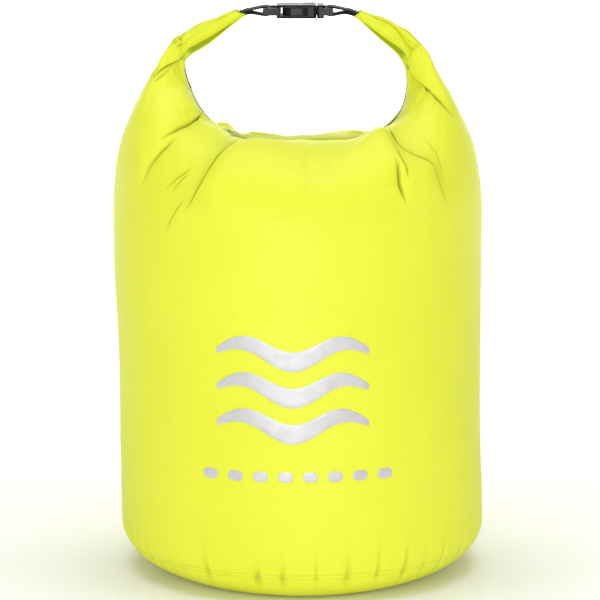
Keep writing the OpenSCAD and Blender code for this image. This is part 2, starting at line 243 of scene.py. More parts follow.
def thread_material(name, colour):
    m = material(name, colour, 0.6, Sheen_Weight=0.3)
    g = Graph(m)
    dark = tuple(c * 0.7 for c in colour)
    g.link(g.ramp(g.noise(1500.0, 2.0), [(0.35, dark), (0.65, colour)]),
           g.shader.inputs["Base Color"])
    g.link(g.bump(g.noise(3000.0, 2.0), 0.0001, 0.6), g.shader.inputs["Normal"])
    return m


WEBBING = webbing_material()
PLASTIC = plastic_material()
PRINT = print_material()
TAPE = tape_material()
THREAD_LIME = thread_material("thread_lime", (0.66, 0.80, 0.05))
THREAD_BLACK = thread_material("thread_black", (0.045, 0.045, 0.05))
HEM = cloth_material("hem_band", (0.66, 0.72, 0.030), (0.58, 0.64, 0.02), (0.4, 0.48, 0.004), 0.6)


# ---- meshes ----
def add_object(name, data):
    ob = bpy.data.objects.new(name, data)
    scene.collection.objects.link(ob)
    return ob


def build(name, points, faces, mat, uv=None):
    """A smooth mesh object; uv is one pair for each point."""
    me = bpy.data.meshes.new(name)
    me.from_pydata([tuple(map(float, p)) for p in points], [], [tuple(map(int, f)) for f in faces])
    me.update()
    if uv is not None:
        put_uv(me, uv)
    me.polygons.foreach_set("use_smooth", [True] * len(me.polygons))
    me.materials.append(mat)
    return add_object(name, me)


def put_uv(me, uv):
    layer = me.uv_layers.new(name="cut")
    index = np.zeros(len(me.loops), int)
    me.loops.foreach_get("vertex_index", index)
    layer.data.foreach_set("uv", np.asarray(uv, float)[index].astype(np.float32).ravel())


def put_painted_shade(me, values):
    """Painted shade at each point, from 0 to 1, which cloth_material mixes into the colour."""
    layer = me.attributes.new("painted_fold_shade", "FLOAT", "POINT")
    layer.data.foreach_set("value", np.asarray(values).astype(np.float32))


def place(ob, body, slot, *nodes):
    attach(ob, body)
    if nodes:
        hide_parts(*nodes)
    return ob


def grid_faces(rows, cols, closed):
    last = cols if closed else cols - 1
    return [(i * cols + k, i * cols + (k + 1) % cols, (i + 1) * cols + (k + 1) % cols,
             (i + 1) * cols + k) for i in range(rows - 1) for k in range(last)]


def bezier(pts, t):
    pts = [np.array(p, float) for p in pts]
    while len(pts) > 1:
        pts = [a + (b - a) * t for a, b in zip(pts, pts[1:])]
    return pts[0]


def smooth_path(p, steps):
    p = [np.array(q, float) for q in p]
    out = [p[0]]
    for i in range(1, len(p) - 1):
        a = p[0] if i == 1 else (p[i - 1] + p[i]) / 2
        c = p[-1] if i == len(p) - 2 else (p[i] + p[i + 1]) / 2
        out += [bezier([a, p[i], c], k / steps) for k in range(1, steps + 1)]
    return np.array(out)


class Path:
    """A path in the XZ plane, read at a distance along it."""

    def __init__(self, points):
        self.p = np.asarray(points, float)
        step = np.linalg.norm(np.diff(self.p, axis=0), axis=1)
        self.s = np.concatenate([[0], np.cumsum(step)])
        self.length = self.s[-1]
        t = np.gradient(self.p, self.s, axis=0)
        t /= np.linalg.norm(t, axis=1)[:, None]
        self.n = np.stack([t[:, 1], -t[:, 0]], 1)

    def at(self, s):
        s = np.asarray(s, float)
        p = np.stack([np.interp(s, self.s, self.p[:, i]) for i in (0, 1)], -1)
        n = np.stack([np.interp(s, self.s, self.n[:, i]) for i in (0, 1)], -1)
        return p, n / np.linalg.norm(n, axis=-1)[..., None]


tip = np.array(TIP)
left_half = smooth_path([(0, 0.3035), (0.027, 0.304), (0.050, 0.3045), (0.0672, 0.3165),
                         (0.0805, 0.3385), (0.0862, 0.3650), (0.0625, 0.3812), tip], 24)
right_half = smooth_path([(0, 0.3035), (0.030, 0.304), (0.059, 0.3055), (0.0762, 0.320),
                          (0.0820, 0.3415), (0.0790, 0.3655), (0.0600, 0.3815), tip], 24)
ROLL = Path(np.vstack([left_half[::-1] * [-1, 1], right_half[1:]]))
LEFT_LENGTH = Path(left_half).length


# ---- the bag's cloth ----
AROUND, ROWS = 128, 72
# the cloth's height from the seam, at the front, the back and the sides
FRONT_H, BACK_H, SIDE_H = 0.396, 0.370, 0.418
SIM_SCALE = 5.0
FRAMES = 40
TURNED_FROM = 0.045                   # from here on the cloth's edge turns in over the roll


def wall(f, z):
    """The wall's point at that angle and height, before the cloth fills out."""
    a = BASE_W + (HALF_W - BASE_W) * min(max((z - BASE_RISE) / 0.18, 0), 1)
    inset = 0.0
    if z < BASE_RISE:
        inset = BASE_ROUND * (1 - math.sqrt(1 - (1 - z / BASE_RISE) ** 2))
    return np.array([(a - inset) * math.cos(f), (HALF_D - ROUND_Y * inset) * math.sin(f), z])


def lean(p):
    """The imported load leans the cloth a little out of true: a few mm, by height and side."""
    z, x = p[:, 2], p[:, 0]
    low = smooth01((0.11 - z) / 0.08)
    left = smooth01((-x - 0.085) / 0.02) * smooth01(1 - np.abs(z - 0.312) / 0.045)
    right = smooth01((x - 0.083) / 0.02) * smooth01(1 - np.abs(z - 0.348) / 0.045)
    waist = smooth01(-x / 0.09) * smooth01((0.22 - z) / 0.08) * smooth01((z - 0.03) / 0.06)
    arm = smooth01((-x - 0.085) / 0.015) * smooth01(1 - np.abs(z - 0.366) / 0.042)
    out = p.copy()
    out[:, 0] += 0.0030 * low - 0.0012 * left - 0.0052 * right + 0.0022 * waist + 0.0018 * arm
    return out


def settle_back(p):
    """Behind the roll the cloth lies lower than the roll's top."""
    half_length = 0.078               # of the roll's low middle
    slope, bump = 0.13, 0.003         # the fall to the back, and what may stand above it at most
    x, y, z = p.T
    middle = (ROLL.p[:, 1] < 0.33) & (np.abs(ROLL.p[:, 0]) < half_length)
    top = np.interp(x, ROLL.p[middle, 0], ROLL.p[middle, 1]) + 0.0010
    top -= slope * np.maximum(y - 0.014, 0)
    share = smooth01((y - 0.010) / 0.012) * smooth01((half_length - np.abs(x)) / 0.022)
    over = np.maximum(z - top, 0)
    out = p.copy()
    out[:, 2] -= share * (over - bump * (1 - np.exp(-over / bump)))
    return out


def roll_size(s):
    """The roll's half thickness and half width at s, and how far its outer side bulges."""
    end = min(s, ROLL.length - s)
    # where each arm's roll is slackest, over what length and by how much, and its bulge's place
    if s < ROLL.length / 2:
        slack_at, slack_length, slack_share, bulge_at, bulge = 0.026, 0.036, 0.42, 0.032, 0.0036
    else:
        slack_at, slack_length, slack_share, bulge_at, bulge = 0.030, 0.034, 0.26, 0.023, 0.0052
    slack = 1.0 + 0.05 * math.sin(s * 71.0) + 0.035 * math.sin(s * 173.0 + 1.0)
    slack += slack_share * float(smooth01(1 - abs(end - slack_at) / slack_length))
    tight = float(smooth01(end / 0.03))
    half_t = (ROLL_T / 2 - 0.0004) * slack * (0.80 + 0.20 * tight)
    half_w = (ROLL_W / 2 - 0.0006) * (0.86 + 0.14 * tight) * (1 + 0.012 * math.sin(s * 113.0))
    swell = float(smooth01(1 - abs(end - bulge_at) / 0.026))
    return half_t, half_w * (1 + 0.05 * swell), swell * bulge


def bag_start():
    """The cloth before it fills out, and the shape that it was sewn to."""
    r_rest = (HALF_W + HALF_D) / 2
    r_top = ROLL.length * 1.03 / math.pi
    right_length = ROLL.length - LEFT_LENGTH
    now, sewn, pinned = [], [], []
    for j in range(ROWS + 1):
        v = j / ROWS
        for k in range(AROUND):
            f = 2 * math.pi * k / AROUND
            q = abs(math.sin(f))
            front = math.sin(f) < 0
            height = SIDE_H + ((FRONT_H if front else BACK_H) - SIDE_H) * q ** 1.5
            share = max(0.0, (v - 0.6) / 0.4) ** 2
            r = r_rest + (r_top - r_rest) * share
            sewn.append((r * math.cos(f), r * math.sin(f), SEAM_Z + v * height))
            g = 1 - f / math.pi if f <= math.pi else f / math.pi - 1
            s = 2 * g * LEFT_LENGTH if g < 0.5 else LEFT_LENGTH + (2 * g - 1) * right_length
            c, n = ROLL.at(s)
            end = min(s, ROLL.length - s)
            y = (ROLL_W / 2 - 0.0005) * min(1, end / 0.012) ** 0.5
            y *= 1 - 0.14 * float(smooth01((0.055 - end) / 0.02))
            # along an arm the cloth laps round the roll's edges, on to its inner side
            inner = float(smooth01((end - 0.034) / 0.024) * smooth01((0.142 - end) / 0.028))
            turned = end > TURNED_FROM
            half_t, _, bulge = roll_size(s)
            outer = 0.86 * half_t if turned else 0.72 * (half_t + bulge) + 0.0008
            out = outer - (outer + 0.86 * half_t) * inner
            edge = np.array([c[0] + n[0] * out, -y if front else y, c[1] + n[1] * out])
            v_wall = (WALL_TOP - SEAM_Z) / height
            if v <= v_wall:
                p = wall(f, SEAM_Z + v * height)
            else:
                w = wall(f, WALL_TOP)
                up = w + [0, 0, 0.045 + 0.02 * (1 - q)]
                rise = (0.026 if front else 0.004) * q ** 2
                crest = edge + (w - edge) * [0.3, 0.3, 0] + [0, 0, rise]
                p = bezier([w, up, crest, edge], (v - v_wall) / (1 - v_wall))
            if turned and j == ROWS - 1:
                out, y = 0.0040 - 0.0080 * inner, ROLL_W / 2 + 0.0016
                p = np.array([c[0] + n[0] * out, -y if front else y, c[1] + n[1] * out])
                pinned.append(len(now))
            now.append(p)
    return np.array(now), np.array(sewn), pinned


def fill_out(now, sewn, pinned):
    """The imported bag: a cloth simulation with pressure inside, held at the seam and the roll."""
    faces = grid_faces(ROWS + 1, AROUND, True)
    me = bpy.data.meshes.new("sim")
    me.from_pydata([tuple(p) for p in now * SIM_SCALE], [], faces)
    ob = add_object("sim", me)
    ob.shape_key_add(name="Basis", from_mix=False)
    rest = ob.shape_key_add(name="sewn", from_mix=False)
    rest.data.foreach_set("co", (sewn * SIM_SCALE).astype(np.float32).ravel())
    pins = ob.vertex_groups.new(name="pins")
    last_row = list(range(ROWS * AROUND, (ROWS + 1) * AROUND))
    pins.add(list(range(AROUND)) + pinned + last_row, 1.0, "REPLACE")
    cloth = ob.modifiers.new("cloth", "CLOTH")
    s = cloth.settings
    s.quality, s.mass, s.air_damping = 6, 0.05, 2.0
    s.tension_stiffness, s.compression_stiffness = 30.0, 10.0
    s.shear_stiffness, s.bending_stiffness = 8.0, 0.25
    s.tension_damping = s.compression_damping = 8.0
    s.shear_damping, s.bending_damping = 5.0, 0.5
    s.vertex_group_mass, s.pin_stiffness = "pins", 50.0
    s.use_pressure, s.uniform_pressure_force, s.use_pressure_volume = True, 4.0, False
    s.rest_shape_key = rest
    s.effector_weights.gravity = 0
    cloth.collision_settings.use_collision = False
    cloth.collision_settings.use_self_collision = False
    scene.frame_start, scene.frame_end = 1, FRAMES
    cloth.point_cache.frame_start, cloth.point_cache.frame_end = 1, FRAMES
    for f in range(1, FRAMES + 1):
        scene.frame_set(f)
    done = ob.evaluated_get(bpy.context.evaluated_depsgraph_get())
    co = np.zeros(len(now) * 3, np.float32)
    done.data.vertices.foreach_get("co", co)
    bpy.data.objects.remove(ob)
    scene.frame_set(1)
    return co.reshape(-1, 3).astype(float) / SIM_SCALE


def cubic(grid, k, closed):
    """The grid with k times as many rows, on a smooth curve through the old ones."""
    n = len(grid)
    if closed:
        t = np.arange(n * k) / k
        i = np.floor(t).astype(int)
        pick = [grid[(i + o) % n] for o in (-1, 0, 1, 2)]
    else:
        t = np.arange((n - 1) * k + 1) / k
        i = np.minimum(np.floor(t).astype(int), n - 2)
        pick = [grid[np.clip(i + o, 0, n - 1)] for o in (-1, 0, 1, 2)]
    u = (t - i)[:, None, None]
    a, b, c, d = pick
    return 0.5 * (2 * b + (c - a) * u + (2 * a - 5 * b + 4 * c - d) * u ** 2
                  + (3 * b - a - 3 * c + d) * u ** 3)


now, sewn, pinned = bag_start()
filled = fill_out(now, sewn, pinned)
grid = settle_back(lean(filled)).reshape(ROWS + 1, AROUND, 3)
FINE = 3
fine = cubic(grid, FINE, False)
fine = cubic(fine.transpose(1, 0, 2), FINE, True).transpose(1, 0, 2)
fine_rows, fine_cols = fine.shape[:2]

# the cut cloth's measures: the way round from one column to the next, and each row's height
cut_step = 1 / fine_cols * 2 * math.pi * HALF_W
cut_v = np.arange(fine_rows) / (fine_rows - 1) * FRONT_H


# ---- creases ----
# Each crease: its line on the plane y = PLANE_Y as seen from the camera's place (x, z in mm),
# fold height, valley depth, reach of the fold on its raised side, lip, and how it fades at
# each end. The raised side is on the left of the line's direction.
MM = 0.001
CREASE_GAIN = 1.25
FRONT_CREASES = [
    # the left shoulder's long fold, from the roll down to the front
    ([(-42, 315), (-49, 310), (-55, 304), (-62, 293), (-68, 281), (-79, 264)],
     4.2, 4.2, 12, 0.8, 0.0, 0.40),
    # left arm
    ([(-61, 338), (-65, 335), (-72, 329), (-85, 323), (-96, 312)], -2.6, 2.0, 9, 0.6, 0.2, 0.5),
    ([(-79, 321), (-87, 315), (-97, 304), (-104, 294), (-108, 280)], -2.4, 1.6, 8, 0.5, 0.3, 0.5),
    ([(-70, 299), (-77, 293), (-84, 289), (-92, 281)], 1.2, 1.5, 5, 0.6, 0.4, 0.5),
    ([(-72, 294), (-80, 287), (-87, 279)], 1.0, 1.2, 3.5, 0.5, 0.4, 0.5),
    ([(-77, 277), (-84, 267), (-91, 253)], 1.3, 1.4, 5, 0.6, 0.4, 0.5),
    # right shoulder
    ([(60, 318), (64, 311), (67, 304), (70, 297), (74, 287)], -2.6, 3.6, 8, 0.8, 0.0, 0.3),
    ([(65, 301), (67, 291), (69, 284), (75, 270)], 1.6, 2.4, 5, 0.6, 0.3, 0.5),
    ([(61, 325), (66, 316), (70, 311), (77, 306), (85, 302), (90, 299), (94, 291), (98, 282),
      (104, 267)], -3.2, 2.6, 9, 0.7, 0.05, 0.4),
    ([(84, 318), (92, 311), (97, 300), (101, 288)], -1.2, 0.9, 6, 0.5, 0.4, 0.5),
]
SIDE_CREASES = [
    # at the elbows, where the roll leaves the cloth, on the plane y = 0
    ([(-76, 367), (-88, 361), (-97, 357), (-105, 346)], -2.0, 2.2, 6, 1.6, 0.05, 0.4),
    ([(-88, 357), (-95, 353), (-104, 345)], -0.9, 1.0, 3, 0.5, 0.4, 0.4),
    ([(73, 367), (77, 358), (83, 349), (90, 344), (99, 336), (108, 326), (117, 315)],
     2.2, 2.4, 6, 1.6, 0.05, 0.4),
    # folds along the side strips, on to the buckle
    ([(-40, 392), (-52, 387), (-64, 382), (-81, 372)], -1.2, 2.2, 4, 0.8, 0.2, 0.4),
    ([(-74, 379), (-80, 376), (-88, 370)], -0.7, 1.2, 3, 0.4, 0.3, 0.4),
    ([(48, 391), (62, 385), (76, 375), (85, 365)], 1.2, 2.2, 4, 0.8, 0.2, 0.4),
]


def crease_line(points):
    return Path(smooth_path([(x * MM, z * MM) for x, z in points], 12))


def seen_on_plane(co, y):
    """Where the points fall on the plane at y, seen from the camera's place."""
    t = (y - CAMERA[1]) / (co[:, 1] - CAMERA[1])
    return np.stack([CAMERA[i] + (co[:, i] - CAMERA[i]) * t for i in (0, 2)], 1)


def mirrored_back(creases):
    """Other creases for the back, of the same kinds and not at the same places."""
    out = []
    for pts, fold, valley, reach, lip, a, b in creases:
        moved = [(-x * 1.03 + 4, z - 9 + 0.12 * abs(x) * math.sin(z * 0.05)) for x, z in pts]
        out.append((moved, -fold * 0.9, valley * 0.8, reach, lip, a, b))
    return out


def nearest(line, p):
    """Signed distance from the line (left positive), share along it, and the way across it."""
    pts, s = line.p, line.s
    a, d = pts[:-1], np.diff(pts, axis=0)
    best = np.full(len(p), 1e9)
    sign, along = np.zeros(len(p)), np.zeros(len(p))
    way = np.zeros((len(p), 2))
    for i in range(len(a)):
        w = p - a[i]
        t = np.clip(w @ d[i] / (d[i] @ d[i]), 0, 1)
        gap = w - t[:, None] * d[i]
        dist = np.linalg.norm(gap, axis=1)
        closer = dist < best
        u = d[i] / np.linalg.norm(d[i])
        left = np.array([-u[1], u[0]])
        best[closer] = dist[closer]
        sign[closer] = np.sign(gap[closer] @ left)
        along[closer] = (s[i] + t[closer] * np.linalg.norm(d[i])) / line.length
        way[closer] = left
    return best * sign, along, way


def near_crease(co, facing, creases, y):
    """Which points a crease can reach."""
    p = seen_on_plane(co, y)
    hit = np.zeros(len(co), bool)
    for pts, *_ in creases:
        line = crease_line(pts)
        lo, hi = line.p.min(0) - 0.004, line.p.max(0) + 0.004
        inside = np.all((p > lo) & (p < hi), axis=1) & facing
        index = np.nonzero(inside)[0]
        if len(index):
            d, _, _ = nearest(line, p[index])
            hit[index[np.abs(d) < 0.0035]] = True
    return hit


def crease(co, normals, creases, y, side):
    """How far the creases move each point, and the painted shade at it, from 0 to 1: a thin dark
    line along each valley and a softer shade on the valley's side.
    side is -1 for the front and 1 for the back."""
    move, dark = np.zeros_like(co), np.zeros(len(co))
    source = co * [1, side * -1, 1]
    facing = smooth01((normals[:, 1] * side + 0.05) / 0.25)
    p = seen_on_plane(source, y)
    for pts, fold, valley, reach, lip, fade_a, fade_b in creases:
        line = crease_line(pts)
        margin = reach * MM * 4
        inside = np.all((p > line.p.min(0) - margin) & (p < line.p.max(0) + margin), axis=1)
        inside &= facing > 0
        index = np.nonzero(inside)[0]
        if not len(index):
            continue
        d, along, way = nearest(line, p[index])
        turned = 1.0 if fold >= 0 else -1.0
        d = d * turned
        ends = smooth01(along / fade_a) if fade_a else np.ones(len(d))
        ends = ends * smooth01((1 - along) / fade_b) * facing[index]
        far = reach * MM
        lobe = np.where(d > 0, (d / far) * np.exp(1 - d / far), 0)
        gully = np.where(d < 0, 0.65 * np.exp(-(d / 0.0009) ** 2) + 0.35 * np.exp(d / 0.0040),
                         np.exp(-(d / 0.0006) ** 2))
        out = ends * (abs(fold) * lobe - valley * gully) * MM * CREASE_GAIN
        over = ends * lip * MM * np.exp(-((d - 0.0010) / 0.0011) ** 2)
        move[index] += normals[index] * out[:, None]
        shift = -way * (turned * over)[:, None]
        move[index, 0] += shift[:, 0]
        move[index, 2] += shift[:, 1]
        line_w = 0.0006 + 0.00012 * valley
        # painted shade, not print: ink is a thin dark line along each valley, shade a softer band on
        # the valley's side
        ink = np.exp(-((d + 0.0003) / line_w) ** 2) * min(valley / 2.2, 1.0)
        shade = np.where(d < 0, 0.42 * np.exp(d / (far * 0.45)), 0) * min(valley / 3, 1)
        dark[index] = np.maximum(dark[index], ends * np.maximum(ink, shade))
    return move, dark


def wander(co, scale, seed):
    """Smooth noise from -1 to 1 at the points."""
    return np.array([noise.noise(Vector((x * scale + seed, y * scale, z * scale)))
                     for x, y, z in co])


# the base seam's gathers: angle, width, share of the full depth, height
PUCKER_DEPTH = 0.0034
PUCKERS = []
angle = 0.0
while angle < 2 * math.pi - 0.06:
    PUCKERS.append((angle, rng.uniform(0.010, 0.026), rng.uniform(0.2, 1.0) ** 1.6,
                    rng.uniform(0.006, 0.016)))
    angle += rng.uniform(0.06, 0.19)


def puckers(co):
    """How far in the gathers by the base seam pull each point."""
    f = np.arctan2(co[:, 1], co[:, 0]) % (2 * math.pi)
    up = co[:, 2] - SEAM_Z
    pull = np.zeros(len(co))
    for place_f, width, depth_and_painted_shade, tall in PUCKERS:
        d = np.abs((f - place_f + math.pi) % (2 * math.pi) - math.pi) / width
        above = np.exp(-(np.maximum(up, 0) / tall) ** 1.5)
        reach = np.where(up > 0, above, np.exp(-(up / 0.006) ** 2))
        pull += PUCKER_DEPTH * depth_and_painted_shade * np.exp(-d ** 2) * (1 - 0.5 * np.minimum(d, 2)) * reach
    return pull + 0.0005 * np.exp(-(up / 0.0009) ** 2)


# painted shade in the base seam's gathers, from how far in they pull
def pucker_shade(pull):
    return np.clip(pull / PUCKER_DEPTH, 0, 1) * 0.6


# the fine mesh of the whole bag, with more points where the creases and the seam are
mesh = bmesh.new()
row_share = mesh.verts.layers.float.new("row_share")
for n, p in enumerate(fine.reshape(-1, 3)):
    mesh.verts.new(p)[row_share] = n // fine_cols / (fine_rows - 1)
mesh.verts.ensure_lookup_table()
uv_layer = mesh.loops.layers.uv.new("cut")
for i in range(fine_rows - 1):
    for k in range(fine_cols):
        k2 = (k + 1) % fine_cols
        here, above = i * fine_cols, (i + 1) * fine_cols
        face = mesh.faces.new([mesh.verts[n] for n in (here + k, here + k2, above + k2, above + k)])
        for loop, (a, b) in zip(face.loops, ((k, i), (k + 1, i), (k + 1, i + 1), (k, i + 1))):
            loop[uv_layer].uv = (a * cut_step, cut_v[b])


def mesh_points(bm):
    bm.verts.ensure_lookup_table()
    bm.verts.index_update()
    return np.array([v.co for v in bm.verts])


def mesh_normals(bm):
    bm.normal_update()
    return np.array([v.normal for v in bm.verts])


CREASE_SETS = [(FRONT_CREASES, PLANE_Y, -1), (SIDE_CREASES, 0.0, -1),
               (mirrored_back(FRONT_CREASES), PLANE_Y, 1), (mirrored_back(SIDE_CREASES), 0.0, 1)]
for level in range(2):
    co, normals = mesh_points(mesh), mesh_normals(mesh)
    hit = np.zeros(len(co), bool)
    for creases, y, side in CREASE_SETS:
        hit |= near_crease(co * [1, -side, 1], normals[:, 1] * side > -0.1, creases, y)
    if level == 0:
        hit |= co[:, 2] < SEAM_Z + 0.020
    edges = [e for e in mesh.edges if hit[e.verts[0].index] and hit[e.verts[1].index]]
    bmesh.ops.subdivide_edges(mesh, edges=edges, cuts=1, use_grid_fill=True)
    mesh.verts.index_update()

co, normals = mesh_points(mesh), mesh_normals(mesh)
if normals[0] @ co[0] < 0:
    bmesh.ops.reverse_faces(mesh, faces=mesh.faces)
    normals = mesh_normals(mesh)
# painted shade in the cloth's colour: a dark line and a softer shade along each crease, the gathers
# by the base seam, and the crest's ends
move, depth_and_painted_shade = np.zeros_like(co), np.zeros(len(co))
for creases, y, side in CREASE_SETS:
    moved, dark = crease(co, normals, creases, y, side)
    move += moved
    depth_and_painted_shade = np.maximum(depth_and_painted_shade, dark)
hold = smooth01((co[:, 2] - SEAM_Z) / 0.03)
near_roll = smooth01((co[:, 2] - 0.25) / 0.06)
uneven = 0.0011 * wander(co, 11.0, 3.1) + 0.00035 * wander(co, 34.0, 7.7)
uneven += near_roll * 0.0006 * wander(co * [1, 1, 0.55], 60.0, 1.3)
move += normals * (hold * uneven)[:, None]
mesh.verts.ensure_lookup_table()
share = np.array([v[row_share] for v in mesh.verts])
move *= smooth01(((1 - share) * ROWS - 0.9) / 2.0)[:, None]
outward = co[:, :2] / np.linalg.norm(co[:, :2], axis=1)[:, None]
pull = puckers(co) * (co[:, 2] < 0.06)
move[:, :2] -= outward * pull[:, None]
depth_and_painted_shade = np.maximum(depth_and_painted_shade, pucker_shade(pull))
# the valley behind the crest lies in shade at its two ends
x, y, z = co.T
crest_ends = 0.85 * np.exp(-((x + 0.050) / 0.010) ** 2)
crest_ends += 0.6 * np.exp(-((x - 0.064) / 0.011) ** 2)
in_valley = smooth01((y + 0.036) / 0.010) * smooth01((0.060 - y) / 0.02)
depth_and_painted_shade = np.maximum(depth_and_painted_shade, crest_ends * in_valley * smooth01((0.322 - z) / 0.008) * (z > 0.25))
# the back seam's lap, at x = 0 on +Y
back = (y > 0) & (z < 0.30)
lap = smooth01((0.007 - np.abs(x)) / 0.0015) * 0.0007 * hold
move += normals * np.where(back, lap, 0)[:, None]
for v, m in zip(mesh.verts, move):
    v.co += Vector(m)
mesh.normal_update()
final = mesh_points(mesh)
final_normals = np.array([v.normal for v in mesh.verts])

reach_x = BEND_DIR[0] * np.abs(final[:, 0]) + BEND_DIR[1] * final[:, 2]
mesh.faces.ensure_lookup_table()
mesh.faces.index_update()
part = np.zeros(len(mesh.faces), int)
for f in mesh.faces:
    ids = [v.index for v in f.verts]
    if min(reach_x[i] for i in ids) > BEND_FROM:
        mid = sum(final[i][0] for i in ids)
        part[f.index] = 1 if mid < 0 else 2


def cut_piece(name, which):
    """The faces of that part of the fine mesh, as a piece with the whole mesh's normals."""
    faces = [f for f in mesh.faces if part[f.index] == which]
    used = sorted({v.index for f in faces for v in f.verts})
    new = {old: i for i, old in enumerate(used)}
    me = bpy.data.meshes.new(name)
    me.from_pydata([tuple(final[i]) for i in used], [],
                   [[new[v.index] for v in f.verts] for f in faces])
    me.update()
    layer = me.uv_layers.new(name="cut")
    layer.data.foreach_set("uv", np.array([l[uv_layer].uv for f in faces for l in f.loops],
                                          np.float32).ravel())
    me.polygons.foreach_set("use_smooth", [True] * len(me.polygons))
    # the painted shade goes with the piece
    put_painted_shade(me, depth_and_painted_shade[used])
    me.normals_split_custom_set_from_vertices([tuple(final_normals[i]) for i in used])
    me.materials.append(LIME)
    return add_object(name, me)


def bend(ob, side, slot, *nodes):
    """Bakes the piece's transform into its mesh, and hides the imported parts that it stands for."""
    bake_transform(ob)
    if nodes:
        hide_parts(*nodes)


bag = cut_piece("bag_cloth", 0)
shoulders = {"left": cut_piece("left_shoulder", 1), "right": cut_piece("right_shoulder", 2)}
skin_tree = BVHTree.FromPolygons([tuple(p) for p in final],
                                 [[v.index for v in f.verts] for f in mesh.faces])
mesh.free()
place(bag, "bag", "coated_cloth", "tube_panel")
for side, ob in shoulders.items():
    bend(ob, side, "coated_cloth", side + "_gusset")


# ---- the base ----
def base_cloth():
    """The base sheet: flat, then round up to the seam."""
    cols, rows = 384, 40
    flat = 0.4                        # the share of the rows that the flat part takes
    points, uv = [], []
    top_angle = math.asin(1 - SEAM_Z / BASE_RISE)
    for i in range(rows):
        t = i / (rows - 1)
        for k in range(cols):
            f = 2 * math.pi * k / cols
            a = max(t - flat, 0) / (1 - flat) * (math.pi / 2 - top_angle)
            inset = BASE_ROUND * (1 - math.sin(a))
            share = min(t / flat, 1)
            z = max(BASE_RISE * (1 - math.cos(a)), 0.0003)
            x = (BASE_W - inset) * share * math.cos(f)
            y = (HALF_D - ROUND_Y * inset) * share * math.sin(f)
            points.append((x, y, z))
            uv.append((x, y))
    p = lean(np.array(points))
    pull = puckers(p) * smooth01((p[:, 2] - 0.001) / 0.006)
    r = np.maximum(np.linalg.norm(p[:, :2], axis=1), 1e-6)
    p[:, :2] -= p[:, :2] / r[:, None] * pull[:, None]
    p[:, 2] += np.abs(0.0006 * wander(p, 26.0, 5.0) * smooth01((0.10 - r) / 0.02))
    ob = build("base_cloth", p, [f[::-1] for f in grid_faces(rows, cols, True)], LIME, uv)
    # painted shade in the base's gathers
    put_painted_shade(ob.data, pucker_shade(pull))
    return place(ob, "bag", "coated_cloth", "base_panel")


base_cloth()


# ---- the rolled mouth ----
def strip_sweep(name, s0, s1, steps, section, mat, caps=(True, True), painted_shade_at=None, slant=0.0):
    """A closed section swept along the roll's path. section(s) gives (out, y) pairs. At a tip the
    inner side reaches further than the outer side by slant."""
    rows, uv, depth_and_painted_shade = [], [], []
    for s in np.linspace(s0, s1, steps):
        c, n = ROLL.at(s)
        pts = section(s)
        tipward = np.array([n[1], -n[0]]) * (-1 if n[1] * c[0] > 0 else 1)
        end = min(s, ROLL.length - s)
        reach = slant * float(smooth01(1 - end / 0.012)) * (1.0 if s < ROLL.length / 2 else 0.45)
        for a, y in pts:
            move = reach * float(smooth01(0.5 - a / 0.008))
            x, z = c + n * a + tipward * move
            rows.append((x, y, z))
        # painted shade for each point of the section
        if painted_shade_at:
            depth_and_painted_shade.append(painted_shade_at(s))
        u = np.cumsum(np.linalg.norm(np.diff(pts, axis=0), axis=1))
        uv += [(v, s) for v in (0.0, *u)]
    m = len(pts)
    faces = grid_faces(steps, m, True)
    if caps[0]:
        faces.append(tuple(range(m - 1, -1, -1)))
    if caps[1]:
        faces.append(tuple((steps - 1) * m + k for k in range(m)))
    ob = build(name, rows, faces, mat, uv)
    if painted_shade_at:
        put_painted_shade(ob.data, np.concatenate(depth_and_painted_shade))
    return ob


LAYERS, SPIRAL_POINTS = 3.25, 132     # the roll's turns, and the points along its section
WRAP_T = 0.00055                      # the rolled cloth's thickness


def spiral(s):
    """The roll's section: one length of cloth wound flat, its free end outermost at the front."""
    end = min(s, ROLL.length - s)
    half_t, half_w, bulge = roll_size(s)
    turn = np.linspace(0, 1, SPIRAL_POINTS)
    f = -math.pi / 2 - lip_angle(s) + 2 * math.pi * LAYERS * turn
    shrink = turn * LAYERS
    step = np.exp(-((shrink - 1.0) / 0.10) ** 2) * smooth01(end / 0.012)
    shrink = shrink + 0.9 * step
    a = np.maximum(half_t - shrink * 0.00135, 0.0006)
    b = half_w - shrink * 0.0013
    c, d = np.cos(f), np.sin(f)
    mid = np.stack([a * np.sign(c) * np.abs(c) ** 0.55, b * np.sign(d) * np.abs(d) ** 0.75], 1)
    mid[:, 0] += np.maximum(mid[:, 0], 0) / half_t * bulge
    t = np.gradient(mid, axis=0)
    t /= np.maximum(np.linalg.norm(t, axis=1), 1e-9)[:, None]
    side = np.stack([t[:, 1], -t[:, 0]], 1) * WRAP_T / 2
    return np.vstack([mid + side, (mid - side)[::-1]])


def lip_angle(s):
    """How far round the roll its free end lies."""
    return 0.07 + 0.07 * math.sin(s * 96.0 + 0.6)


def spiral_painted_shade(s):
    """Painted shade on the roll's section, from 0 to 1: on the layers under the free end's lip near
    the tips, and behind the crest's two ends.
    """
    end = min(s, ROLL.length - s)
    turn = np.linspace(0, LAYERS, SPIRAL_POINTS)
    under_lip = smooth01((turn - 0.85) / 0.07) * smooth01(2 - turn)
    near_tip = smooth01((end - 0.003) / 0.01) * smooth01((0.048 - end) / 0.008)
    x = s - LEFT_LENGTH
    behind = max(math.exp(-((x + 0.046) / 0.010) ** 2), 0.7 * math.exp(-((x - 0.062) / 0.014) ** 2))
    both = np.maximum(under_lip * near_tip, behind)
    return np.concatenate([both, both[::-1]])


